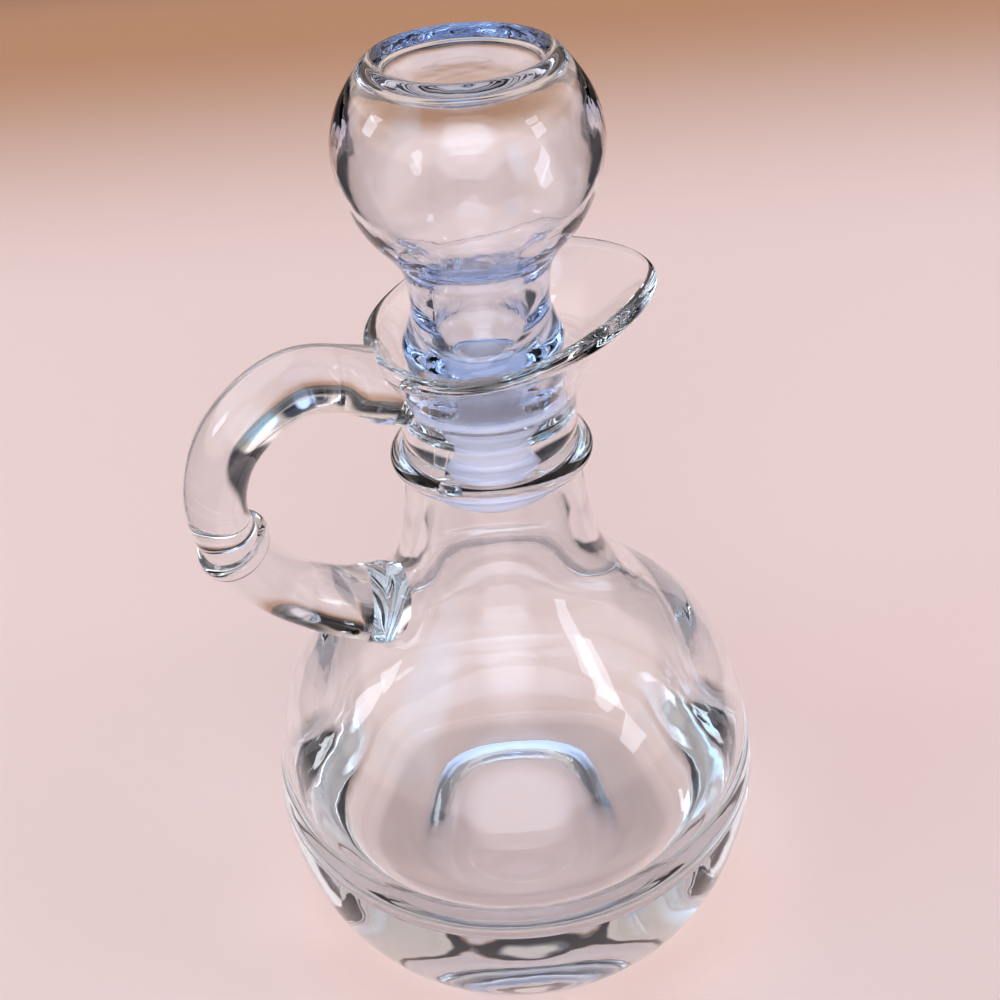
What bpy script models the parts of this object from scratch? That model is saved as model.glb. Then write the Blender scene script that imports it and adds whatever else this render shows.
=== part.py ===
"""Clear glass oil cruet with a hollow ball stopper and a ribbed plastic sleeve, in metres, +Z up.

The spout points along +X and the handle along -X. The base stands on Z = 0.
"""

import math

import bmesh
import bpy
import numpy as np

MM = 0.001
GAP = 0.30  # kept between pieces that rest on each other

# Overall
TOTAL_HEIGHT = 165.0
AROUND_VESSEL = 56
AROUND_STOPPER = 42
AROUND_SLEEVE = 36
AROUND_HANDLE = 18

# Bowl
BOWL_RADIUS = 44.6
BOWL_WIDEST_Z = 29.5
BEARING_INNER = 22.0
BEARING_OUTER = 27.5
PUSH_UP = 4.2
FLOOR_Z = 15.6
HEEL_Z = 35.0  # where the inside is widest
HEEL_SQUARENESS = 2.3  # 2 is an ellipse
WALL = 4.0

# Neck, collar ring and lip
NECK_RADIUS = 14.4
NECK_TOP_Z = 108.0
BORE_RADIUS = 11.0
COLLAR_RADIUS = 16.8
COLLAR_Z = 99.1
COLLAR_HALF = 1.5
SEAT_Z = 110.0
SEAT_RADIUS = 12.9
RIM_HALF = 1.45
RIM_RADIUS = 17.2
RIM_BROADENS = 5.5
RIM_Z = 120.0
RIM_RISE = 5.7
SPOUT_REACH = 4.7
SPOUT_HALF_ANGLE = math.radians(30.0)

# Handle, measured out from the bowl's axis
ROOT = (14.8, 115.0)
CROWN = (30.8, 118.9)
BEND = (42.0, 111.6)
BACK = (46.1, 101.2)
KNUCKLE = (44.5, 92.4)
ELBOW = (38.6, 82.8)
LOWER_ARM = (31.5, 77.2)
FOOT = (21.5, 72.2)
ROD_HALF_THICK = 4.9
ROD_HALF_WIDE = 6.9
FOOT_FLARE = 1.28
ROOT_FLARE = 1.12
BEAD_HEIGHT = 1.4
BEAD_HALF = 1.5
BEAD_RINGS = (-1.6, -1.25, -0.6, 0.0, 0.6, 1.25, 1.6)  # along the handle from the bead's middle
FILLET_REACH = 3.2
FILLET_LENGTH = 9.0
FOOT_LENGTH = 16.0  # over which the foot spreads
PATH_STEPS = 24

# Stopper
BALL_RADIUS = 20.2
BALL_Z = 151.0
BALL_WALL = 2.2
WAIST_RADIUS = 10.9
WAIST_Z = 127.0
FLANGE_RADIUS = 12.9
FLANGE_Z = 119.4
FLANGE_FOOT_RADIUS = 11.4
DISH_RIM_RADIUS = 13.2
DISH_DEPTH = 3.4
DISH_WALL = 1.6
PEG_RADIUS = 8.8
PEG_BOTTOM_Z = 92.2
PEG_HOLE_RADIUS = 6.2
WAIST_HOLE_RADIUS = 7.2

# Sleeve
SLEEVE_BOTTOM_Z = 93.5
SLEEVE_BODY_RADIUS = 10.3
SLEEVE_RIB_RADIUS = BORE_RADIUS - GAP
SLEEVE_FLANGE_RADIUS = 12.2
SLEEVE_FLANGE_THICK = 0.8
SLEEVE_RIBS = 5


def smooth(points, steps):
    """Points of a centripetal Catmull-Rom curve through the given points."""
    p = np.array(points, float)
    p = np.vstack([2 * p[0] - p[1], p, 2 * p[-1] - p[-2]])
    out = []
    for a, b, c, d in zip(p[:-3], p[1:-2], p[2:-1], p[3:]):
        t1 = math.sqrt(np.linalg.norm(b - a))
        t2 = t1 + math.sqrt(np.linalg.norm(c - b))
        t3 = t2 + math.sqrt(np.linalg.norm(d - c))
        for t in np.linspace(t1, t2, steps, endpoint=False):
            ab = (t1 - t) / t1 * a + t / t1 * b
            bc = (t2 - t) / (t2 - t1) * b + (t - t1) / (t2 - t1) * c
            cd = (t3 - t) / (t3 - t2) * c + (t - t2) / (t3 - t2) * d
            abc = (t2 - t) / t2 * ab + t / t2 * bc
            bcd = (t3 - t) / (t3 - t1) * bc + (t - t1) / (t3 - t1) * cd
            out.append((t2 - t) / (t2 - t1) * abc + (t - t1) / (t2 - t1) * bcd)
    return out + [p[-2]]


def outer_wall():
    """Radius and height up the outside of the bowl to the top of the neck."""
    b, z = BOWL_RADIUS, BOWL_WIDEST_Z
    bowl = smooth(
        [
            (BEARING_OUTER, 0.0),
            (0.765 * b, 0.05 * z),
            (0.835 * b, 0.155 * z),
            (0.912 * b, 0.36 * z),
            (0.973 * b, 0.66 * z),
            (b, z),
            (0.958 * b, z + 12.5),
            (0.855 * b, z + 24.5),
            (0.605 * b, z + 36.0),
            (0.415 * b, z + 47.0),
            (1.06 * NECK_RADIUS, COLLAR_Z - 8.5),
            (1.03 * NECK_RADIUS, COLLAR_Z - COLLAR_HALF),
        ],
        2,
    )
    collar = [
        (
            NECK_RADIUS + 0.2 + (COLLAR_RADIUS - NECK_RADIUS - 0.2) * math.cos(a),
            COLLAR_Z + COLLAR_HALF * math.sin(a),
        )
        for a in np.radians([-62, -25, 12, 48, 84])
    ]
    return bowl + collar + [(NECK_RADIUS, COLLAR_Z + COLLAR_HALF + 0.5), (NECK_RADIUS, NECK_TOP_Z)]


def inner_wall():
    """Radius and height up the inside, from near the middle of the floor to the sleeve's seat."""
    b, z = BOWL_RADIUS - WALL, BOWL_WIDEST_Z
    heel = []
    for t in np.radians(np.linspace(16, 90, 6)):
        rise = (HEEL_Z - FLOOR_Z) * (1 - math.cos(t) ** (2 / HEEL_SQUARENESS))
        heel.append((b * math.sin(t) ** (2 / HEEL_SQUARENESS), FLOOR_Z + rise))
    bowl = smooth(
        heel
        + [
            (0.93 * b, z + 16.0),
            (0.78 * b, z + 27.0),
            (0.53 * b, z + 38.0),
            (0.335 * b, z + 49.0),
            (BORE_RADIUS, COLLAR_Z - 6.5),
        ],
        2,
    )
    seat = [(BORE_RADIUS, SEAT_Z - 0.5), (BORE_RADIUS + 0.5, SEAT_Z), (SEAT_RADIUS, SEAT_Z)]
    return bowl + seat


def rim(angle):
    """Centre of the lip's rounded edge, and how much the wall there is drawn out into the spout."""
    toward = (1 + math.cos(angle)) / 2
    away = math.atan2(math.sin(angle), math.cos(angle)) / SPOUT_HALF_ANGLE
    drawn = math.exp(-away * away)
    radius = RIM_RADIUS + RIM_BROADENS * toward**0.8 + SPOUT_REACH * drawn
    height = RIM_Z + RIM_RISE * toward * toward * (3 - 2 * toward)
    return radius, height, drawn


def flare(start, end, power, steps):
    """Points from start to end that leave upright and lean out more and more."""
    out = []
    for v in np.linspace(0, 1, steps + 1)[1:]:
        u = 1 - (1 - v) ** 1.35
        out.append((start[0] + (end[0] - start[0]) * u**power, start[1] + (end[1] - start[1]) * u))
    return out


def lip(angle):
    """Radius and height over the lip at one angle: up its outside, round its edge, down its funnel."""
    radius, height, drawn = rim(angle)
    power = 1.35 + 1.25 * drawn
    lean = math.atan2(height - SEAT_Z, power * (radius - SEAT_RADIUS))
    out = (math.sin(lean), -math.cos(lean))
    outside = (radius + RIM_HALF * out[0], height + RIM_HALF * out[1])
    inside = (radius - RIM_HALF * out[0], height - RIM_HALF * out[1])
    edge = []
    for a in np.radians([36, 72, 108, 144]):
        along = RIM_HALF * math.sin(a)
        across = RIM_HALF * math.cos(a)
        edge.append(
            (
                radius + across * out[0] + along * math.cos(lean),
                height + across * out[1] + along * math.sin(lean),
            )
        )
    up = flare((NECK_RADIUS, NECK_TOP_Z), outside, power, 5)
    down = flare((SEAT_RADIUS, SEAT_Z + 0.3), inside, power, 5)[::-1]
    return up + edge + down + [(SEAT_RADIUS, SEAT_Z + 0.3)]


def loft(name, rings):
    """Closed mesh of one ring of points after another. A ring of one point is a tip."""
    mesh = bmesh.new()
    rows = [[mesh.verts.new(p) for p in ring] for ring in rings]
    for low, high in zip(rows, rows[1:]):
        if len(low) == 1 or len(high) == 1:
            tip, ring = (low[0], high) if len(low) == 1 else (high[0], low)
            for a, b in zip(ring, ring[1:] + ring[:1]):
                mesh.faces.new((tip, a, b) if tip is high[0] else (tip, b, a))
            continue
        for k, p in enumerate(low):
            n = (k + 1) % len(low)
            mesh.faces.new((p, low[n], high[n], high[k]))
    bmesh.ops.recalc_face_normals(mesh, faces=mesh.faces)
    for face in mesh.faces:
        face.smooth = True
    data = bpy.data.meshes.new(name)
    mesh.to_mesh(data)
    mesh.free()
    return data


def around(angles, points):
    """Ring of places with one (radius, height) for each angle."""
    return [(MM * r * math.cos(a), MM * r * math.sin(a), MM * z) for a, (r, z) in zip(angles, points)]


def vessel_mesh():
    """The blown body in one skin: push-up, outside, lip and spout, bore and inside of the bowl."""
    angles = np.linspace(0, 2 * math.pi, AROUND_VESSEL, endpoint=False)
    under = [
        (0.55 * BEARING_INNER, 0.97 * PUSH_UP),
        (0.80 * BEARING_INNER, 0.68 * PUSH_UP),
        (BEARING_INNER - 1.2, 0.08 * PUSH_UP),
        (BEARING_INNER, 0.0),
    ]
    rings = [[(0.0, 0.0, MM * PUSH_UP)]]
    rings += [around(angles, [p] * AROUND_VESSEL) for p in under + outer_wall()]
    rings += [around(angles, row) for row in zip(*[lip(a) for a in angles])]
    rings += [around(angles, [p] * AROUND_VESSEL) for p in inner_wall()[::-1]]
    rings.append([(0.0, 0.0, MM * FLOOR_Z)])
    return loft("cruet", rings)


def mid_wall(z):
    """Radius of the middle of the glass at a height on the handle's side."""
    up = outer_wall() + lip(math.pi)[:5]
    down = inner_wall() + lip(math.pi)[9:][::-1]
    radii = [np.interp(z, [p[1] for p in side], [p[0] for p in side]) for side in (up, down)]
    return sum(radii) / 2


def land(point, direction):
    """Moves a point of the handle's end along the handle until it lies in the middle of the wall."""
    s, y, z = point
    low, high = 0.0, 30.0
    for _ in range(40):
        t = (low + high) / 2
        inside = math.hypot(s + t * direction[0], y) < mid_wall(z + t * direction[1])
        low, high = (low, t) if inside else (t, high)
    return s + high * direction[0], y, z + high * direction[1]


def handle_rings():
    """Rings of (distance out from the axis, y, height) along the handle, from its root to its foot."""
    course = [ROOT, CROWN, BEND, BACK, KNUCKLE, ELBOW, LOWER_ARM, FOOT]
    path = np.array(smooth(course, PATH_STEPS))
    along = np.concatenate([[0], np.cumsum(np.hypot(*np.diff(path, axis=0).T))])
    end_at = along[-1]
    bead_at = along[course.index(KNUCKLE) * PATH_STEPS]
    stops = np.concatenate(
        [
            np.linspace(3.0, bead_at - 3.2, 9),
            bead_at + np.array(BEAD_RINGS),
            np.linspace(bead_at + 4.5, end_at - 2.0, 6),
        ]
    )
    rings = []
    turns = np.linspace(0, 2 * math.pi, AROUND_HANDLE, endpoint=False)
    for stop in stops:
        s, z = (np.interp(stop, along, path[:, k]) for k in (0, 1))
        ahead, behind = (
            np.array([np.interp(stop + d, along, path[:, k]) for k in (0, 1)]) for d in (0.5, -0.5)
        )
        run = (ahead - behind) / np.linalg.norm(ahead - behind)
        normal = np.array([run[1], -run[0]])
        near = abs(stop - bead_at) / BEAD_HALF
        bead = BEAD_HEIGHT * math.sqrt(max(0.0, 1 - near * near))
        root = ROOT_FLARE + (1 - ROOT_FLARE) * min(1.0, stop / FILLET_LENGTH)
        foot = FOOT_FLARE + (1 - FOOT_FLARE) * min(1.0, (end_at - stop) / FOOT_LENGTH)
        thick = ROD_HALF_THICK * root * foot + bead
        fillet = FILLET_REACH * max(0.0, 1 - (end_at - stop) / FILLET_LENGTH) ** 2
        drip = FILLET_REACH * max(0.0, 1 - stop / FILLET_LENGTH) ** 2
        wide = ROD_HALF_WIDE * min(root, 1.04) * (1 + (foot - 1) * 0.4) + bead
        ring = []
        for a in turns:
            lean = thick * math.cos(a) - (fillet + drip) * max(0.0, -math.cos(a)) ** 2
            ring.append((s - normal[0] * lean, wide * math.sin(a), z - normal[1] * lean))
        rings.append(ring)
    half_step = PATH_STEPS // 2
    start = path[0] - path[half_step]
    end = path[-1] - path[-half_step]
    rings.insert(0, [land(p, start / np.linalg.norm(start)) for p in rings[0]])
    rings.append([land(p, end / np.linalg.norm(end)) for p in rings[-1]])
    return rings


def handle_mesh(rings):
    placed = [[(-MM * s, MM * y, MM * z) for s, y, z in ring] for ring in rings]
    tips = [tuple(np.mean(ring, axis=0)) for ring in (placed[0], placed[-1])]
    return loft("handle", [[tips[0]]] + placed + [[tips[1]]])


def stopper_profile():
    """From the middle of the dish over the ball and down the peg, then up the hollow to the ball's ceiling."""
    b, z = BALL_RADIUS, BALL_Z
    seat = SEAT_Z + SLEEVE_FLANGE_THICK + 2 * GAP
    dish = [
        (0.0, TOTAL_HEIGHT - DISH_DEPTH),
        (0.3 * DISH_RIM_RADIUS, TOTAL_HEIGHT - DISH_DEPTH),
        (DISH_RIM_RADIUS - 4.6, TOTAL_HEIGHT - 0.9 * DISH_DEPTH),
        (DISH_RIM_RADIUS - 2.3, TOTAL_HEIGHT - 0.62 * DISH_DEPTH),
        (DISH_RIM_RADIUS - 1.0, TOTAL_HEIGHT - 0.45),
        (DISH_RIM_RADIUS, TOTAL_HEIGHT),
    ]
    outside = smooth(
        [
            (DISH_RIM_RADIUS + 1.2, TOTAL_HEIGHT - 0.6),
            (0.8 * b, z + 11.2),
            (0.915 * b, z + 7.6),
            (0.98 * b, z + 4.0),
            (b, z),
            (0.94 * b, z - 6.0),
            (0.83 * b, z - 11.0),
            (0.665 * b, z - 15.2),
            (WAIST_RADIUS + 0.75, WAIST_Z + 5.6),
            (WAIST_RADIUS, WAIST_Z),
            (WAIST_RADIUS + 0.2, WAIST_Z - 2.4),
            (FLANGE_RADIUS - 0.9, FLANGE_Z + 2.6),
            (FLANGE_RADIUS, FLANGE_Z),
            (FLANGE_RADIUS - 0.35, FLANGE_Z - 2.4),
            (FLANGE_FOOT_RADIUS + 0.4, seat + 1.4),
            (FLANGE_FOOT_RADIUS - 0.4, seat),
        ],
        1,
    )
    peg = [
        (PEG_RADIUS + 0.4, seat),
        (PEG_RADIUS, seat - 0.4),
        (PEG_RADIUS, PEG_BOTTOM_Z + 0.6),
        (PEG_RADIUS - 0.6, PEG_BOTTOM_Z),
        (PEG_HOLE_RADIUS, PEG_BOTTOM_Z),
        (PEG_HOLE_RADIUS, FLANGE_Z - 1.2),
        (WAIST_HOLE_RADIUS - 0.4, FLANGE_Z - 0.4),
    ]
    ceiling = TOTAL_HEIGHT - DISH_DEPTH - DISH_WALL
    hollow = b - BALL_WALL
    inside = smooth(
        [
            (WAIST_HOLE_RADIUS, FLANGE_Z + 1.5),
            (WAIST_HOLE_RADIUS + 0.4, WAIST_Z + 4.0),
            (0.52 * hollow, z - 16.0),
            (0.76 * hollow, z - 11.8),
            (0.93 * hollow, z - 7.0),
            (hollow, z - 1.0),
            (0.98 * hollow, z + 4.0),
            (0.93 * hollow, z + 7.4),
            (0.84 * hollow, ceiling + 1.0),
            (DISH_RIM_RADIUS, ceiling + 2.5),
            (DISH_RIM_RADIUS - 2.0, ceiling + 1.7),
            (DISH_RIM_RADIUS - 4.6, ceiling + 0.3),
            (0.22 * hollow, ceiling),
        ],
        1,
    )
    return dish + outside + peg + inside + [(0.0, ceiling)]


def sleeve_profile():
    """Round the sleeve's wall: down its ribbed outside from the flange, then up its smooth inside."""
    top = SEAT_Z + GAP + SLEEVE_FLANGE_THICK
    points = [
        (PEG_RADIUS + GAP, top),
        (SLEEVE_FLANGE_RADIUS, top),
        (SLEEVE_FLANGE_RADIUS, SEAT_Z + GAP),
        (SLEEVE_BODY_RADIUS, SEAT_Z + GAP),
    ]
    for z in np.linspace(SEAT_Z - 2.6, SLEEVE_BOTTOM_Z + 2.2, SLEEVE_RIBS):
        points += [(SLEEVE_BODY_RADIUS, z + 0.7), (SLEEVE_RIB_RADIUS, z), (SLEEVE_BODY_RADIUS, z - 0.7)]
    points += [
        (SLEEVE_BODY_RADIUS, SLEEVE_BOTTOM_Z + 0.6),
        (SLEEVE_BODY_RADIUS - 0.5, SLEEVE_BOTTOM_Z),
        (PEG_RADIUS + GAP, SLEEVE_BOTTOM_Z),
    ]
    return points


def profile_mesh(name, points, closed):
    """Line of (radius, height) points in the X-Z plane, for a Screw modifier to turn."""
    last = len(points) - (not closed)
    edges = [(k, (k + 1) % len(points)) for k in range(last)]
    data = bpy.data.meshes.new(name)
    data.from_pydata([(MM * r, 0.0, MM * z) for r, z in points], edges, [])
    return data


def turn(piece, steps):
    """Turns a profile once round Z."""
    screw = piece.modifiers.new("turn", "SCREW")
    screw.axis = "Z"
    screw.steps = screw.render_steps = steps
    screw.use_smooth_shade = True
    screw.use_merge_vertices = True
    screw.merge_threshold = 0.00001


def material(name, colour, roughness, transmission, ior):
    made = bpy.data.materials.new(name)
    made.use_nodes = True
    shader = made.node_tree.nodes["Principled BSDF"]
    shader.inputs["Base Color"].default_value = (*colour, 1)
    shader.inputs["Roughness"].default_value = roughness
    shader.inputs["Transmission Weight"].default_value = transmission
    shader.inputs["IOR"].default_value = ior
    return made


def place(name, mesh, axis_x, collection, look):
    made = bpy.data.objects.new(name, mesh)
    mesh.materials.append(look)
    made.location.x = MM * axis_x
    collection.objects.link(made)
    return made


def join(base, others):
    """Boolean union of base with everything in a collection, which is emptied afterwards."""
    union = base.modifiers.new("join", "BOOLEAN")
    union.operation = "UNION"
    union.operand_type = "COLLECTION"
    union.collection = others
    union.solver = "EXACT"
    graph = bpy.context.evaluated_depsgraph_get()
    joined = bpy.data.meshes.new_from_object(base.evaluated_get(graph))
    base.modifiers.clear()
    base.data = joined
    for other in list(others.objects):
        bpy.data.objects.remove(other, do_unlink=True)
    bpy.data.collections.remove(others)


for old in list(bpy.data.objects):
    bpy.data.objects.remove(old, do_unlink=True)

parts = bpy.data.collections.new("oil_cruet")
joined_pieces = bpy.data.collections.new("joined_pieces")
bpy.context.scene.collection.children.link(parts)
bpy.context.scene.collection.children.link(joined_pieces)

rod = handle_rings()
handle_reach = max(s for ring in rod for s, y, z in ring)
axis_x = (handle_reach - BOWL_RADIUS) / 2

flint_glass = material("flint glass", (0.93, 0.95, 0.97), 0.02, 1.0, 1.52)
stopper_glass = material("stopper glass", (0.92, 0.95, 0.98), 0.02, 1.0, 1.52)
polythene = material("frosted polythene", (0.80, 0.81, 0.90), 0.45, 0.4, 1.5)

cruet = place("cruet", vessel_mesh(), axis_x, parts, flint_glass)
place("handle", handle_mesh(rod), axis_x, joined_pieces, flint_glass)
stopper = place("stopper", profile_mesh("stopper", stopper_profile(), False), axis_x, parts, stopper_glass)
sleeve = place("sleeve", profile_mesh("sleeve", sleeve_profile(), True), axis_x, parts, polythene)
turn(stopper, AROUND_STOPPER)
turn(sleeve, AROUND_SLEEVE)
join(cruet, joined_pieces)
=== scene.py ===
"""Looks of the glass oil cruet: fire-polished glass, a frosted sleeve, a pale table and soft studio light."""

import math

import bmesh
import bpy
import numpy as np
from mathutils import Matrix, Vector


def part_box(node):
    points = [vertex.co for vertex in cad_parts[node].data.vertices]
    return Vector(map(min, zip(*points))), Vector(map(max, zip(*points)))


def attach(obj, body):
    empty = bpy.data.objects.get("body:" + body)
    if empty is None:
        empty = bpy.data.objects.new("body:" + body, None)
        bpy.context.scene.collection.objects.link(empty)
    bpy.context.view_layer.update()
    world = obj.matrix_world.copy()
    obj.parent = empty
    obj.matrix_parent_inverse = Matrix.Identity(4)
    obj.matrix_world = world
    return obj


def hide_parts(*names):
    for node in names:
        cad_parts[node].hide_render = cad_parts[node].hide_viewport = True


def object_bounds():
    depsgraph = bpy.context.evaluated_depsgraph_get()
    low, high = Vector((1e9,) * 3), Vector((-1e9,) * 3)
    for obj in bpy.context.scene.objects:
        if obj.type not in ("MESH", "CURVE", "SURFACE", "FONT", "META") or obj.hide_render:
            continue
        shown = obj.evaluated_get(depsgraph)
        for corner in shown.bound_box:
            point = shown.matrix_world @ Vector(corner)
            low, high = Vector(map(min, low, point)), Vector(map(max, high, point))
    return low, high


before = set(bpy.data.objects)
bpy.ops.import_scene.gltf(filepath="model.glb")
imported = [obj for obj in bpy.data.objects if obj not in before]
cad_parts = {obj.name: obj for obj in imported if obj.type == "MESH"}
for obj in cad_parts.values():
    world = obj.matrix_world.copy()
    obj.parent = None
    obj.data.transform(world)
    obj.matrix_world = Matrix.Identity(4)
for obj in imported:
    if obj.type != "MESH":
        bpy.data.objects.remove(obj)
cad_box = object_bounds()

MM = 0.001

# Sizes in mm, the same as the solids'. Heights are above the table, radii from the upright axis.
GAP = 0.30
TOTAL_HEIGHT = 165.0

# Bowl and base
BOWL_RADIUS = 44.6
BOWL_WIDEST_Z = 29.5
BEARING_INNER = 22.0
BEARING_OUTER = 27.5
PUSH_UP = 4.2
FLOOR_Z = 15.6
HEEL_Z = 35.0
HEEL_SQUARENESS = 2.3
WALL = 4.0

# Neck, collar bead, seat and lip
NECK_RADIUS = 14.4
NECK_TOP_Z = 108.0
BORE_RADIUS = 11.0
COLLAR_RADIUS = 16.8
COLLAR_Z = 99.1
COLLAR_HALF = 1.5
SEAT_Z = 110.0
SEAT_RADIUS = 12.9
RIM_HALF = 1.45
RIM_RADIUS = 17.2
RIM_BROADENS = 5.5
RIM_Z = 120.0
RIM_RISE = 5.7
SPOUT_REACH = 4.7
SPOUT_HALF_ANGLE = math.radians(30.0)

# Handle: its course as (distance out from the axis, height), then its section
ROOT = (14.8, 115.0)
CROWN = (30.8, 118.9)
BEND = (42.0, 111.6)
BACK = (46.1, 101.2)
KNUCKLE = (44.5, 92.4)
ELBOW = (38.6, 82.8)
LOWER_ARM = (31.5, 77.2)
FOOT = (21.5, 72.2)
ROD_HALF_THICK = 4.9
ROD_HALF_WIDE = 6.9
FOOT_FLARE = 1.28
ROOT_FLARE = 1.12
BEAD_HEIGHT = 1.4
BEAD_HALF = 1.5
FILLET_REACH = 3.2
FILLET_LENGTH = 9.0
ROOT_LENGTH = 9.0
ROOT_WIDENS_TO = 1.04
FOOT_LENGTH = 16.0
FOOT_WIDENS = 0.4

# Stopper
BALL_RADIUS = 20.2
BALL_Z = 151.0
BALL_WALL = 2.2
WAIST_RADIUS = 10.9
WAIST_Z = 127.0
FLANGE_RADIUS = 12.9
FLANGE_Z = 119.4
FLANGE_FOOT_RADIUS = 11.4
DISH_RIM_RADIUS = 13.2
DISH_DEPTH = 3.4
DISH_WALL = 1.6
PEG_RADIUS = 8.8
PEG_BOTTOM_Z = 92.2
PEG_HOLE_RADIUS = 6.2
WAIST_HOLE_RADIUS = 7.2

# Sleeve in the neck
SLEEVE_BOTTOM_Z = 93.5
SLEEVE_BODY_RADIUS = 10.3
SLEEVE_RIB_RADIUS = BORE_RADIUS - GAP
SLEEVE_FLANGE_RADIUS = 12.2
SLEEVE_FLANGE_THICK = 0.8
SLEEVE_RIBS = 5
RIB_HALF = 0.7
LOWEST_RIB_Z = SLEEVE_BOTTOM_Z + 2.2
HIGHEST_RIB_Z = SEAT_Z - 2.6

# How finely the glass is made
AROUND_VESSEL = 168
AROUND_HANDLE = 54
AROUND_STOPPER = 132
AROUND_SLEEVE = 108
AROUND_RIB = 20
FINE = 5
LIP_STEPS = 16
LIP_EDGE_STEPS = 9
HANDLE_STEPS = 24

# The upright axis lies off the middle of the box, and the handle goes out to the end of the box
AXIS_X = sum(v.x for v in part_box("stopper")) / 2 / MM
HANDLE_REACH = AXIS_X - cad_box[0][0] / MM


def linear(colour):
    """Linear values of an sRGB hex colour."""
    out = []
    for k in (0, 2, 4):
        c = int(colour[k : k + 2], 16) / 255
        out.append(c / 12.92 if c <= 0.04045 else ((c + 0.055) / 1.055) ** 2.4)
    return (*out, 1.0)


def smooth(points, steps):
    """Points of a centripetal Catmull-Rom curve through the given points."""
    p = np.array(points, float)
    p = np.vstack([2 * p[0] - p[1], p, 2 * p[-1] - p[-2]])
    out = []
    for a, b, c, d in zip(p[:-3], p[1:-2], p[2:-1], p[3:]):
        t1 = math.sqrt(np.linalg.norm(b - a))
        t2 = t1 + math.sqrt(np.linalg.norm(c - b))
        t3 = t2 + math.sqrt(np.linalg.norm(d - c))
        for t in np.linspace(t1, t2, steps, endpoint=False):
            ab = (t1 - t) / t1 * a + t / t1 * b
            bc = (t2 - t) / (t2 - t1) * b + (t - t1) / (t2 - t1) * c
            cd = (t3 - t) / (t3 - t2) * c + (t - t2) / (t3 - t2) * d
            abc = (t2 - t) / t2 * ab + t / t2 * bc
            bcd = (t3 - t) / (t3 - t1) * bc + (t - t1) / (t3 - t1) * cd
            out.append((t2 - t) / (t2 - t1) * abc + (t - t1) / (t2 - t1) * bcd)
    return out + [p[-2]]


def outer_wall():
    """Radius and height up the outside of the bowl to the top of the neck."""
    b, z = BOWL_RADIUS, BOWL_WIDEST_Z
    bowl = smooth(
        [
            (BEARING_OUTER, 0.0),
            (0.765 * b, 0.05 * z),
            (0.835 * b, 0.155 * z),
            (0.912 * b, 0.36 * z),
            (0.973 * b, 0.66 * z),
            (b, z),
            (0.958 * b, z + 12.5),
            (0.855 * b, z + 24.5),
            (0.605 * b, z + 36.0),
            (0.415 * b, z + 47.0),
            (1.06 * NECK_RADIUS, COLLAR_Z - 8.5),
            (1.03 * NECK_RADIUS, COLLAR_Z - COLLAR_HALF),
        ],
        FINE,
    )
    collar = [
        (
            NECK_RADIUS + 0.2 + (COLLAR_RADIUS - NECK_RADIUS - 0.2) * math.cos(a),
            COLLAR_Z + COLLAR_HALF * math.sin(a),
        )
        for a in np.radians(np.linspace(-66, 84, 13))
    ]
    neck = [(NECK_RADIUS, z) for z in np.linspace(COLLAR_Z + COLLAR_HALF + 0.5, NECK_TOP_Z, 4)]
    return bowl + collar + neck


def inner_wall():
    """Radius and height up the inside, from near the middle of the floor to the sleeve's seat."""
    b, z = BOWL_RADIUS - WALL, BOWL_WIDEST_Z
    heel = []
    for t in np.radians(np.linspace(4, 90, 9)):
        rise = (HEEL_Z - FLOOR_Z) * (1 - math.cos(t) ** (2 / HEEL_SQUARENESS))
        heel.append((b * math.sin(t) ** (2 / HEEL_SQUARENESS), FLOOR_Z + rise))
    bowl = smooth(
        heel
        + [
            (0.93 * b, z + 16.0),
            (0.78 * b, z + 27.0),
            (0.53 * b, z + 38.0),
            (0.335 * b, z + 49.0),
            (BORE_RADIUS, COLLAR_Z - 6.5),
        ],
        FINE,
    )
    seat = [(BORE_RADIUS, SEAT_Z - 0.5), (BORE_RADIUS + 0.5, SEAT_Z), (SEAT_RADIUS, SEAT_Z)]
    return bowl + seat


def rim(angle):
    """Centre of the lip's rounded edge, and how much the wall there is drawn out into the spout."""
    toward = (1 + math.cos(angle)) / 2
    away = math.atan2(math.sin(angle), math.cos(angle)) / SPOUT_HALF_ANGLE
    drawn = math.exp(-away * away)
    radius = RIM_RADIUS + RIM_BROADENS * toward**0.8 + SPOUT_REACH * drawn
    height = RIM_Z + RIM_RISE * toward * toward * (3 - 2 * toward)
    return radius, height, drawn


def flare(start, end, power, steps):
    """Points from start to end that leave upright and lean out more and more."""
    out = []
    for v in np.linspace(0, 1, steps + 1)[1:]:
        u = 1 - (1 - v) ** 1.35
        out.append((start[0] + (end[0] - start[0]) * u**power, start[1] + (end[1] - start[1]) * u))
    return out


def lip(angle):
    """Radius and height over the lip at one angle: up its outside, round its edge, down its funnel."""
    radius, height, drawn = rim(angle)
    power = 1.35 + 1.25 * drawn
    lean = math.atan2(height - SEAT_Z, power * (radius - SEAT_RADIUS))
    out = (math.sin(lean), -math.cos(lean))
    outside = (radius + RIM_HALF * out[0], height + RIM_HALF * out[1])
    inside = (radius - RIM_HALF * out[0], height - RIM_HALF * out[1])
    edge = []
    for a in np.radians(np.linspace(18, 162, LIP_EDGE_STEPS)):
        along = RIM_HALF * math.sin(a)
        across = RIM_HALF * math.cos(a)
        edge.append(
            (
                radius + across * out[0] + along * math.cos(lean),
                height + across * out[1] + along * math.sin(lean),
            )
        )
    up = flare((NECK_RADIUS, NECK_TOP_Z), outside, power, LIP_STEPS)
    down = flare((SEAT_RADIUS, SEAT_Z + 0.3), inside, power, LIP_STEPS)[::-1]
    return up + edge + down + [(SEAT_RADIUS, SEAT_Z + 0.3)]


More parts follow.
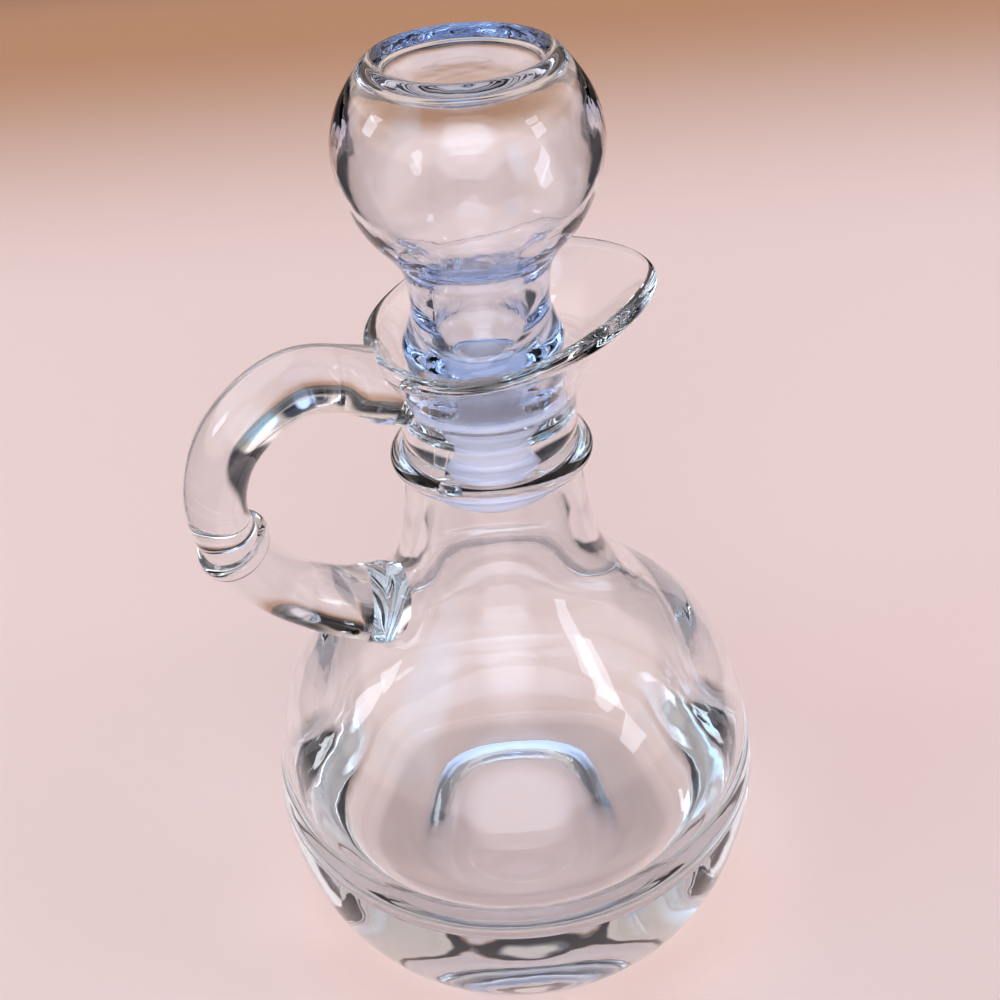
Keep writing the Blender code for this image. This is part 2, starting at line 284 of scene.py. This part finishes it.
def loft(name, rings):
    """Closed mesh of one ring of points after another. A ring of one point is a tip."""
    mesh = bmesh.new()
    rows = [[mesh.verts.new(p) for p in ring] for ring in rings]
    for low, high in zip(rows, rows[1:]):
        if len(low) == 1 or len(high) == 1:
            tip, ring = (low[0], high) if len(low) == 1 else (high[0], low)
            for a, b in zip(ring, ring[1:] + ring[:1]):
                mesh.faces.new((tip, a, b) if tip is high[0] else (tip, b, a))
            continue
        for k, p in enumerate(low):
            n = (k + 1) % len(low)
            mesh.faces.new((p, low[n], high[n], high[k]))
    bmesh.ops.recalc_face_normals(mesh, faces=mesh.faces)
    data = bpy.data.meshes.new(name)
    mesh.to_mesh(data)
    mesh.free()
    return data


def around(angles, points):
    """Ring of places with one (radius, height) for each angle."""
    return [
        (MM * (AXIS_X + r * math.cos(a)), MM * r * math.sin(a), MM * z) for a, (r, z) in zip(angles, points)
    ]


def vessel_mesh():
    """The blown body in one skin: push-up, outside, lip and spout, bore and inside of the bowl."""
    angles = np.linspace(0, 2 * math.pi, AROUND_VESSEL, endpoint=False)
    under = smooth(
        [
            (0.06 * BEARING_INNER, PUSH_UP),
            (0.35 * BEARING_INNER, 0.98 * PUSH_UP),
            (0.62 * BEARING_INNER, 0.72 * PUSH_UP),
            (0.84 * BEARING_INNER, 0.29 * PUSH_UP),
            (0.95 * BEARING_INNER, 0.07 * PUSH_UP),
            (BEARING_INNER, 0.0),
        ],
        FINE,
    )
    rings = [[(MM * AXIS_X, 0.0, MM * PUSH_UP)]]
    rings += [around(angles, [p] * AROUND_VESSEL) for p in under + outer_wall()]
    rings += [around(angles, row) for row in zip(*[lip(a) for a in angles])]
    rings += [around(angles, [p] * AROUND_VESSEL) for p in inner_wall()[::-1]]
    rings.append([(MM * AXIS_X, 0.0, MM * FLOOR_Z)])
    return loft("cruet_glass", rings)


def mid_wall(z):
    """Radius of the middle of the glass at a height on the handle's side."""
    over = lip(math.pi)
    up = outer_wall() + over[:LIP_STEPS]
    down = inner_wall() + over[LIP_STEPS + LIP_EDGE_STEPS :][::-1]
    radii = [np.interp(z, [p[1] for p in side], [p[0] for p in side]) for side in (up, down)]
    return sum(radii) / 2


def land(point, direction, heights, middles):
    """Moves a point of the handle's end along the handle until it lies in the middle of the wall."""
    farthest, halvings = 30.0, 40
    s, y, z = point
    low, high = 0.0, farthest
    for _ in range(halvings):
        t = (low + high) / 2
        inside = math.hypot(s + t * direction[0], y) < np.interp(z + t * direction[1], heights, middles)
        low, high = (low, t) if inside else (t, high)
    return s + high * direction[0], y, z + high * direction[1]


def handle_rings():
    """Rings of (distance out from the axis, y, height) along the handle, from its root to its foot."""
    course = [ROOT, CROWN, BEND, BACK, KNUCKLE, ELBOW, LOWER_ARM, FOOT]
    path = np.array(smooth(course, HANDLE_STEPS))
    along = np.concatenate([[0], np.cumsum(np.hypot(*np.diff(path, axis=0).T))])
    length = along[-1]
    bead_at = along[course.index(KNUCKLE) * HANDLE_STEPS]

    def at(stop):
        return np.array([np.interp(stop, along, path[:, k]) for k in (0, 1)])

    # Rings stand closest over the bead, whose edges are sharp
    stops = list(np.linspace(3.0, bead_at - 3.2, 44))
    stops += list(bead_at + np.linspace(-2.0, 2.0, 21))
    stops += list(np.linspace(bead_at + 3.2, length - 2.0, 30))
    rings = []
    for stop in stops:
        s, z = at(stop)
        run = at(stop + 1.0) - at(stop - 1.0)
        run = run / np.linalg.norm(run)
        normal = np.array([run[1], -run[0]])
        near = abs(stop - bead_at) / BEAD_HALF
        bead = BEAD_HEIGHT * math.sqrt(max(0.0, 1 - near * near))
        root = ROOT_FLARE + (1 - ROOT_FLARE) * min(1.0, stop / ROOT_LENGTH)
        foot = FOOT_FLARE + (1 - FOOT_FLARE) * min(1.0, (length - stop) / FOOT_LENGTH)
        thick = ROD_HALF_THICK * root * foot + bead
        wide = ROD_HALF_WIDE * min(root, ROOT_WIDENS_TO) * (1 + (foot - 1) * FOOT_WIDENS) + bead
        fillet = sum(FILLET_REACH * max(0.0, 1 - gone / FILLET_LENGTH) ** 2 for gone in (length - stop, stop))
        ring = []
        for a in np.linspace(0, 2 * math.pi, AROUND_HANDLE, endpoint=False):
            lean = thick * math.cos(a) - fillet * max(0.0, -math.cos(a)) ** 2
            ring.append((s - normal[0] * lean, wide * math.sin(a), z - normal[1] * lean))
        rings.append(ring)
    heights = np.linspace(FLOOR_Z, RIM_Z, 300)
    middles = [mid_wall(z) for z in heights]
    start = np.array(ROOT) - path[HANDLE_STEPS // 2]
    end = path[-1] - path[-HANDLE_STEPS // 2]
    rings.insert(0, [land(p, start / np.linalg.norm(start), heights, middles) for p in rings[0]])
    rings.append([land(p, end / np.linalg.norm(end), heights, middles) for p in rings[-1]])
    return rings


def handle_mesh():
    placed = [
        [(MM * (AXIS_X - min(s, HANDLE_REACH)), MM * y, MM * z) for s, y, z in ring]
        for ring in handle_rings()
    ]
    tips = [tuple(np.mean(ring, axis=0)) for ring in (placed[0], placed[-1])]
    return loft("handle_glass", [[tips[0]]] + placed + [[tips[1]]])


def stopper_profile():
    """From the middle of the dish over the ball and down the peg, then up the hollow to its ceiling."""
    b, z = BALL_RADIUS, BALL_Z
    seat = SEAT_Z + SLEEVE_FLANGE_THICK + 2 * GAP
    outside = smooth(
        [
            (0.06 * DISH_RIM_RADIUS, TOTAL_HEIGHT - DISH_DEPTH),
            (0.3 * DISH_RIM_RADIUS, TOTAL_HEIGHT - DISH_DEPTH),
            (DISH_RIM_RADIUS - 4.6, TOTAL_HEIGHT - 0.9 * DISH_DEPTH),
            (DISH_RIM_RADIUS - 2.3, TOTAL_HEIGHT - 0.62 * DISH_DEPTH),
            (DISH_RIM_RADIUS - 1.0, TOTAL_HEIGHT - 0.45),
            (DISH_RIM_RADIUS, TOTAL_HEIGHT),
            (DISH_RIM_RADIUS + 1.2, TOTAL_HEIGHT - 0.6),
            (0.8 * b, z + 11.2),
            (0.915 * b, z + 7.6),
            (0.98 * b, z + 4.0),
            (b, z),
            (0.94 * b, z - 6.0),
            (0.83 * b, z - 11.0),
            (0.665 * b, z - 15.2),
            (WAIST_RADIUS + 0.75, WAIST_Z + 5.6),
            (WAIST_RADIUS, WAIST_Z),
            (WAIST_RADIUS + 0.2, WAIST_Z - 2.4),
            (FLANGE_RADIUS - 0.9, FLANGE_Z + 2.6),
            (FLANGE_RADIUS, FLANGE_Z),
            (FLANGE_RADIUS - 0.35, FLANGE_Z - 2.4),
            (FLANGE_FOOT_RADIUS + 0.4, seat + 1.4),
            (FLANGE_FOOT_RADIUS - 0.4, seat),
        ],
        FINE,
    )
    peg = [
        (PEG_RADIUS + 0.4, seat),
        (PEG_RADIUS, seat - 0.4),
        (PEG_RADIUS, PEG_BOTTOM_Z + 0.6),
        (PEG_RADIUS - 0.6, PEG_BOTTOM_Z),
        (PEG_HOLE_RADIUS, PEG_BOTTOM_Z),
        (PEG_HOLE_RADIUS, FLANGE_Z - 1.2),
    ]
    ceiling = TOTAL_HEIGHT - DISH_DEPTH - DISH_WALL
    hollow = b - BALL_WALL
    inside = smooth(
        [
            (WAIST_HOLE_RADIUS - 0.4, FLANGE_Z - 0.4),
            (WAIST_HOLE_RADIUS, FLANGE_Z + 1.5),
            (WAIST_HOLE_RADIUS + 0.4, WAIST_Z + 4.0),
            (0.52 * hollow, z - 16.0),
            (0.76 * hollow, z - 11.8),
            (0.93 * hollow, z - 7.0),
            (hollow, z - 1.0),
            (0.98 * hollow, z + 4.0),
            (0.93 * hollow, z + 7.4),
            (0.84 * hollow, ceiling + 1.0),
            (DISH_RIM_RADIUS, ceiling + 2.5),
            (DISH_RIM_RADIUS - 2.0, ceiling + 1.7),
            (DISH_RIM_RADIUS - 4.6, ceiling + 0.3),
            (0.22 * hollow, ceiling),
            (0.04 * hollow, ceiling),
        ],
        FINE,
    )
    return [(0.0, TOTAL_HEIGHT - DISH_DEPTH)] + outside + peg + inside + [(0.0, ceiling)]


def sleeve_profile():
    """Round the sleeve's wall without its ribs: down its outside from the flange, then up its inside."""
    top = SEAT_Z + GAP + SLEEVE_FLANGE_THICK
    return [
        (PEG_RADIUS + GAP, top),
        (SLEEVE_FLANGE_RADIUS - 0.2, top),
        (SLEEVE_FLANGE_RADIUS, top - 0.2),
        (SLEEVE_FLANGE_RADIUS, SEAT_Z + GAP),
        (SLEEVE_BODY_RADIUS, SEAT_Z + GAP),
        (SLEEVE_BODY_RADIUS, SLEEVE_BOTTOM_Z + 0.6),
        (SLEEVE_BODY_RADIUS - 0.5, SLEEVE_BOTTOM_Z),
        (PEG_RADIUS + GAP, SLEEVE_BOTTOM_Z),
    ]


def turned(name, points, steps, closed):
    """Mesh of a profile turned once round the cruet's upright axis."""
    mesh = bmesh.new()
    verts = [mesh.verts.new((MM * (AXIS_X + r), 0.0, MM * z)) for r, z in points]
    for a, b in zip(verts, verts[1:] + verts[:1] * closed):
        mesh.edges.new((a, b))
    bmesh.ops.spin(
        mesh,
        geom=mesh.verts[:] + mesh.edges[:],
        cent=(MM * AXIS_X, 0.0, 0.0),
        axis=(0.0, 0.0, 1.0),
        angle=2 * math.pi,
        steps=steps,
    )
    bmesh.ops.remove_doubles(mesh, verts=mesh.verts, dist=1e-6)
    bmesh.ops.recalc_face_normals(mesh, faces=mesh.faces)
    data = bpy.data.meshes.new(name)
    mesh.to_mesh(data)
    mesh.free()
    return data


def add(tree, kind, settings, links):
    """Adds a node. Settings are attributes or input values by name, links are inputs fed by other outputs."""
    node = tree.nodes.new(kind)
    for key, value in settings.items():
        if key in node.inputs:
            node.inputs[key].default_value = value
        else:
            setattr(node, key, value)
    for key, output in links.items():
        tree.links.new(output, node.inputs[key])
    return node


def finish_material(name, shader_settings, absorb):
    """Material with a Principled shader and, where absorb is given, a colour that deepens with thickness."""
    made = bpy.data.materials.new(name)
    made.use_nodes = True
    tree = made.node_tree
    shader = tree.nodes["Principled BSDF"]
    for key, value in shader_settings.items():
        shader.inputs[key].default_value = value
    if absorb:
        colour, density = absorb
        volume = add(tree, "ShaderNodeVolumeAbsorption", {"Color": linear(colour), "Density": density}, {})
        tree.links.new(volume.outputs["Volume"], tree.nodes["Material Output"].inputs["Volume"])
    return made, tree, shader


def fire_polished_glass(name, absorb, ripple_mm, ripple_depth_mm):
    """Pressed soda-lime glass: clear and glossy, with the slow ripple that a fire-polished surface keeps."""
    made, tree, shader = finish_material(
        name,
        {
            "Base Color": linear("FFFFFF"),
            "Roughness": 0.0,
            "IOR": 1.52,
            "Transmission Weight": 1.0,
        },
        absorb,
    )
    place = add(tree, "ShaderNodeTexCoord", {}, {})
    ripple = add(
        tree,
        "ShaderNodeTexNoise",
        {"Scale": 1 / (MM * ripple_mm), "Detail": 2.0, "Roughness": 0.4},
        {"Vector": place.outputs["Object"]},
    )
    bump = add(
        tree,
        "ShaderNodeBump",
        {"Strength": 1.0, "Distance": MM * ripple_depth_mm},
        {"Height": ripple.outputs["Fac"]},
    )
    tree.links.new(bump.outputs["Normal"], shader.inputs["Normal"])
    return made


def frosted_polythene():
    """Low-density polythene, moulded: milky, with a soft sheen and faint, uneven flow marks."""
    flow_mm, flow_depth_mm = 3.0, 0.05
    made, tree, shader = finish_material(
        "frosted_low_density_polythene",
        {
            "Roughness": 0.42,
            "IOR": 1.51,
            "Subsurface Weight": 0.1,
            "Subsurface Radius": (0.003, 0.003, 0.004),
            "Subsurface Scale": 1.0,
            "Transmission Weight": 0.05,
        },
        None,
    )
    place = add(tree, "ShaderNodeTexCoord", {}, {})
    flow = add(
        tree,
        "ShaderNodeTexNoise",
        {"Scale": 1 / (MM * flow_mm), "Detail": 3.0},
        {"Vector": place.outputs["Object"]},
    )
    tone = add(tree, "ShaderNodeMix", {"data_type": "RGBA"}, {})
    tone.inputs["A"].default_value = linear("ECF0FF")
    tone.inputs["B"].default_value = linear("DCE2FF")
    tree.links.new(flow.outputs["Fac"], tone.inputs["Factor"])
    tree.links.new(tone.outputs["Result"], shader.inputs["Base Color"])
    bump = add(
        tree,
        "ShaderNodeBump",
        {"Strength": 0.5, "Distance": MM * flow_depth_mm},
        {"Height": flow.outputs["Fac"]},
    )
    tree.links.new(bump.outputs["Normal"], shader.inputs["Normal"])
    return made


def piece(name, mesh, look):
    """Object at the origin with its place in its mesh."""
    made = bpy.data.objects.new(name, mesh)
    mesh.materials.clear()
    mesh.materials.append(look)
    bpy.context.scene.collection.objects.link(made)
    return made


def shade(made, sharp_angle):
    made.data.polygons.foreach_set("use_smooth", [True] * len(made.data.polygons))
    made.data.set_sharp_from_angle(angle=math.radians(sharp_angle))


def weld(base, other):
    """Joins two pieces of one material into one skin."""
    union = base.modifiers.new("weld", "BOOLEAN")
    union.operation = "UNION"
    union.object = other
    union.solver = "EXACT"
    graph = bpy.context.evaluated_depsgraph_get()
    joined = bpy.data.meshes.new_from_object(base.evaluated_get(graph))
    base.modifiers.clear()
    base.data = joined
    bpy.data.objects.remove(other, do_unlink=True)


def rib_tree():
    """Geometry Nodes tree of rings one above another, each an upright oval swept round a circle."""
    tree = bpy.data.node_groups.new("sleeve_ribs", "GeometryNodeTree")
    for name, kind in (
        ("Ribs", "NodeSocketInt"),
        ("Lowest", "NodeSocketVector"),
        ("Highest", "NodeSocketVector"),
        ("Radius", "NodeSocketFloat"),
        ("Rise", "NodeSocketFloat"),
        ("Stretch", "NodeSocketVector"),
        ("Around", "NodeSocketInt"),
        ("Material", "NodeSocketMaterial"),
    ):
        tree.interface.new_socket(name, in_out="INPUT", socket_type=kind)
    tree.interface.new_socket("Geometry", in_out="OUTPUT", socket_type="NodeSocketGeometry")
    sizes = tree.nodes.new("NodeGroupInput").outputs
    path = add(
        tree,
        "GeometryNodeCurvePrimitiveCircle",
        {},
        {"Radius": sizes["Radius"], "Resolution": sizes["Around"]},
    )
    section = add(
        tree,
        "GeometryNodeCurvePrimitiveCircle",
        {"Resolution": AROUND_RIB},
        {"Radius": sizes["Rise"]},
    )
    ring = add(
        tree,
        "GeometryNodeCurveToMesh",
        {},
        {"Curve": path.outputs["Curve"], "Profile Curve": section.outputs["Curve"]},
    )
    oval = add(
        tree,
        "GeometryNodeTransform",
        {},
        {"Geometry": ring.outputs["Mesh"], "Scale": sizes["Stretch"]},
    )
    places = add(
        tree,
        "GeometryNodeMeshLine",
        {"mode": "END_POINTS"},
        {"Count": sizes["Ribs"], "Start Location": sizes["Lowest"]},
    )
    tree.links.new(sizes["Highest"], places.inputs["Offset"])
    copies = add(
        tree,
        "GeometryNodeInstanceOnPoints",
        {},
        {"Points": places.outputs["Mesh"], "Instance": oval.outputs["Geometry"]},
    )
    real = add(tree, "GeometryNodeRealizeInstances", {}, {"Geometry": copies.outputs["Instances"]})
    dressed = add(
        tree,
        "GeometryNodeSetMaterial",
        {},
        {"Geometry": real.outputs["Geometry"], "Material": sizes["Material"]},
    )
    tree.links.new(dressed.outputs["Geometry"], tree.nodes.new("NodeGroupOutput").inputs["Geometry"])
    return tree


def sleeve_ribs(look):
    """The rings that grip the bore, as one plain mesh."""
    rise = SLEEVE_RIB_RADIUS - SLEEVE_BODY_RADIUS
    sizes = {
        "Ribs": SLEEVE_RIBS,
        "Lowest": (MM * AXIS_X, 0.0, MM * LOWEST_RIB_Z),
        "Highest": (MM * AXIS_X, 0.0, MM * HIGHEST_RIB_Z),
        "Radius": MM * SLEEVE_BODY_RADIUS,
        "Rise": MM * rise,
        "Stretch": (1.0, 1.0, RIB_HALF / rise),
        "Around": AROUND_SLEEVE,
        "Material": look,
    }
    made = bpy.data.objects.new("sleeve_ribs", bpy.data.meshes.new("sleeve_ribs"))
    bpy.context.scene.collection.objects.link(made)
    nodes = made.modifiers.new("ribs", "NODES")
    nodes.node_group = rib_tree()
    for socket in nodes.node_group.interface.items_tree:
        if socket.in_out == "INPUT":
            nodes[socket.identifier] = sizes[socket.name]
    made.data = bpy.data.meshes.new_from_object(made.evaluated_get(bpy.context.evaluated_depsgraph_get()))
    made.modifiers.clear()
    return made


def ride_for(made, node):
    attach(made, "root")
    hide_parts(node)


cruet_look = fire_polished_glass("soda_lime_glass_cruet", ("D0DCE4", 12.0), 9.0, 0.05)
stopper_look = fire_polished_glass("soda_lime_glass_stopper", ("A8CCF4", 22.0), 6.0, 0.12)
sleeve_look = frosted_polythene()

cruet = piece("cruet_glass", vessel_mesh(), cruet_look)
handle = piece("handle_glass", handle_mesh(), cruet_look)
weld(cruet, handle)
stopper_shape = turned("stopper_glass", stopper_profile(), AROUND_STOPPER, closed=False)
stopper = piece("stopper_glass", stopper_shape, stopper_look)
sleeve_shape = turned("neck_sleeve", sleeve_profile(), AROUND_SLEEVE, closed=True)
sleeve = piece("neck_sleeve", sleeve_shape, sleeve_look)
weld(sleeve, sleeve_ribs(sleeve_look))
for made, sharp_angle in ((cruet, 50), (stopper, 40), (sleeve, 40)):
    shade(made, sharp_angle)
ride_for(cruet, "cruet")
ride_for(stopper, "stopper")
ride_for(sleeve, "sleeve")


# Table, light and camera. Directions are as the camera sees them: right, away from it, and up.
CAMERA_TURN = math.radians(-17.0)  # the view is turned by this from the handle's side
CAMERA_PLACE = (-0.05811, -0.20055, 0.23300)  # metres, in the cruet's own axes
CAMERA_ANGLES = (55.2527, 3.5943, -19.6861)  # degrees
CAMERA_LENS = 54.04
TABLE_HALF = 3.0
TABLE_DROP = 0.0003  # so that the glass doesn't share its foot's plane with the table
WINDOW_AIM = (0.0, 0.0, 0.15)
WINDOW_SIDE = 0.14
WINDOW_WATTS = 0.35
WINDOW_COLOUR = "E4F0FF"
# The room's tones: colour, strength, direction, and how far off it they start and are full, in degrees
ROOM = [
    ("FFF2EE", 1.4, (0.0, 0.0, 1.0), 0, 0),
    ("F4E4E0", 0.72, (0.0, 0.0, 1.0), 60, 48),
    ("F8E0D4", 0.8, (0.0, 0.87, 0.5), 50, 36),
    ("0C121C", 1.0, (0.0, 0.0, -1.0), 104, 96),
    ("26364C", 1.0, (0.0, -0.1, 1.0), 38, 29),
    ("B4CCF8", 1.8, (0.0, 0.0, 1.0), 20, 12),
    ("8CA8D0", 1.0, (-0.05, 0.5, 0.866), 11, 6),
    ("F0F4FF", 2.8, (0.0, -0.94, 0.34), 30, 20),
    ("C0E4FF", 2.6, (-0.75, -0.37, 0.55), 18, 8),
]
# The table's tones, pale near the cruet and painted shade further out: colour, strength, direction, and how
# far out they start and are full, in metres
FLOOR = [
    ("FFE6DC", 1.0, (0.0, 0.0, 1.0), 0, 0),
    # Tan towards the back: partly the table's own tone, partly painted shade where the light falls off
    ("C8946C", 1.0, (0.0, 1.0, 0.0), 0.26, 0.56),
    # Dark far behind: painted shade where the light falls off
    ("362E2C", 1.0, (0.0, 1.0, 0.0), 0.60, 0.80),
    # Dark blue-black on the camera's side, outside the view: painted shade, so that the glass shows dark
    # edges
    ("101824", 1.0, (0.958, -0.287, 0.0), 0.11, 0.15),
    ("101824", 1.0, (-0.958, -0.287, 0.0), 0.11, 0.15),
]


def as_seen(x, y, z):
    """Place from x to the right of the view, y away from the camera and z up, in metres."""
    c, s = math.cos(CAMERA_TURN), math.sin(CAMERA_TURN)
    return Vector((c * x - s * y, s * x + c * y, z))


def blended(tree, place, layers):
    """Colour from layers of tone, each taking over from the last between its start and its full."""
    seen = None
    for colour, strength, direction, start, full in layers:
        tone = [strength * part for part in linear(colour)[:3]] + [1.0]
        if seen is None:
            seen = add(tree, "ShaderNodeRGB", {}, {}).outputs[0]
            seen.default_value = tone
            continue
        toward = add(tree, "ShaderNodeVectorMath", {"operation": "DOT_PRODUCT"}, {})
        toward.inputs[1].default_value = as_seen(*direction).normalized()
        tree.links.new(place, toward.inputs[0])
        fade = add(
            tree,
            "ShaderNodeMapRange",
            {"interpolation_type": "SMOOTHSTEP", "From Min": start, "From Max": full},
            {"Value": toward.outputs["Value"]},
        )
        mixed = add(tree, "ShaderNodeMix", {"data_type": "RGBA"}, {})
        tree.links.new(fade.outputs["Result"], mixed.inputs["Factor"])
        tree.links.new(seen, mixed.inputs["A"])
        mixed.inputs["B"].default_value = tone
        seen = mixed.outputs["Result"]
    return seen


def table_top():
    """Matt laminate: pale round the cruet, tan towards the back and dark outside the view; the tan is the
    table's own tone deepened by painted shade, and the dark is painted shade.
    """
    mesh = bpy.data.meshes.new("table_top")
    grid = bmesh.new()
    bmesh.ops.create_grid(grid, x_segments=1, y_segments=1, size=TABLE_HALF)
    grid.to_mesh(mesh)
    grid.free()
    settings = {"Roughness": 0.55, "Specular IOR Level": 0.3}
    look, tree, shader = finish_material("matt_laminate_with_painted_shade", settings, None)
    place = add(tree, "ShaderNodeTexCoord", {}, {}).outputs["Object"]
    tree.links.new(blended(tree, place, FLOOR), shader.inputs["Base Color"])
    made = piece("table_top", mesh, look)
    made.location.z = -TABLE_DROP


def window(name, place):
    """Small cool softbox turned towards the cruet."""
    light = bpy.data.lights.new(name, "AREA")
    light.shape = "RECTANGLE"
    light.size = light.size_y = WINDOW_SIDE
    light.energy = WINDOW_WATTS
    light.color = linear(WINDOW_COLOUR)[:3]
    made = bpy.data.objects.new(name, light)
    made.location = as_seen(*place)
    made.rotation_euler = (as_seen(*WINDOW_AIM) - made.location).to_track_quat("-Z", "Y").to_euler()
    bpy.context.scene.collection.objects.link(made)


def room():
    """Pale room, dark near the ground, with a dark blue ring round a blue-white patch overhead."""
    world = bpy.data.worlds.new("studio")
    world.use_nodes = True
    tree = world.node_tree
    place = add(tree, "ShaderNodeTexCoord", {}, {}).outputs["Generated"]
    layers = [
        (colour, strength, direction, math.cos(math.radians(start)), math.cos(math.radians(full)))
        for colour, strength, direction, start, full in ROOM
    ]
    tree.links.new(blended(tree, place, layers), tree.nodes["Background"].inputs["Color"])
    bpy.context.scene.world = world


def light_paths():
    """Enough bounces for light to find its way through the thick glass, and refractions left sharp."""
    paths = bpy.context.scene.cycles
    paths.max_bounces = 18
    paths.transmission_bounces = 18
    paths.glossy_bounces = 12
    paths.blur_glossy = 0.0


def camera():
    lens = bpy.data.cameras.new("camera")
    lens.sensor_width = 36.0
    lens.lens = CAMERA_LENS
    lens.clip_start = 0.01
    made = bpy.data.objects.new("camera", lens)
    made.location = CAMERA_PLACE
    made.rotation_euler = [math.radians(a) for a in CAMERA_ANGLES]
    bpy.context.scene.collection.objects.link(made)
    bpy.context.scene.camera = made


table_top()
room()
window("window_far_left", (-0.66, 0.08, 0.40))
window("window_right", (0.62, -0.27, 0.46))
camera()
light_paths()
bpy.context.scene.view_settings.view_transform = "Standard"
